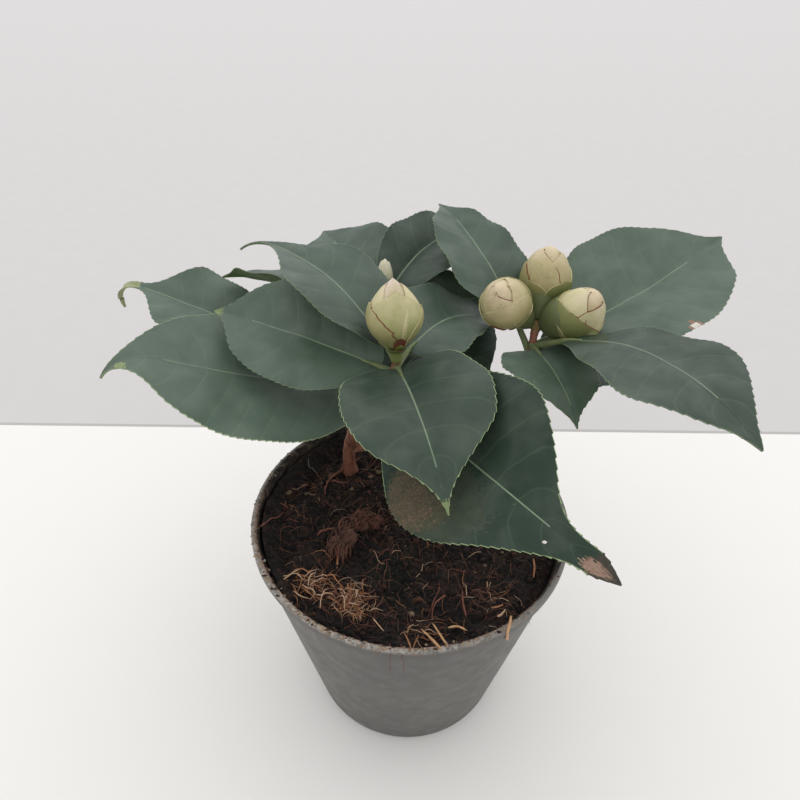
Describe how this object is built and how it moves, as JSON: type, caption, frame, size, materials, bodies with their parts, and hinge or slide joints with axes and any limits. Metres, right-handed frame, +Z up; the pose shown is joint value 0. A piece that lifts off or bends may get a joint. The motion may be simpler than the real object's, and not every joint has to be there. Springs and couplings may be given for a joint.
{
  "type": "potted camellia shrub",
  "caption": "Young camellia in a round tapered nursery pot: glossy toothed oval leaves on low forking stems, with closed cream flower buds at the shoot tips.",
  "frame": {"origin": "centre of the pot's flat underside", "axes": "+Z up along the pot's axis; -Y towards the front, where the broad low leaf hangs over the rim; +X to the right seen from the front"},
  "size_m": [0.2464, 0.1974, 0.2071],
  "materials": {
    "pot_plastic": "faded matte, scuffed, with dried dirt at the rim and foot",
    "soil": "moist crumbly potting mix with coir fibres",
    "bark": "matte red-brown young bark",
    "leaf": "leathery, satin, with a pale midrib",
    "bud": "smooth satin overlapping scales",
    "fibre": "dry matte strands"
  },
  "bodies": {
    "root": {"pot": "pot_plastic", "soil": "soil", "trunk": "bark", "bough_right": "bark", "bough_left": "bark", "bough_back": "bark", "foliage_left": "leaf", "foliage_right": "leaf", "foliage_back": "leaf", "foliage_low_left": "leaf"}
  },
  "joints": []
}
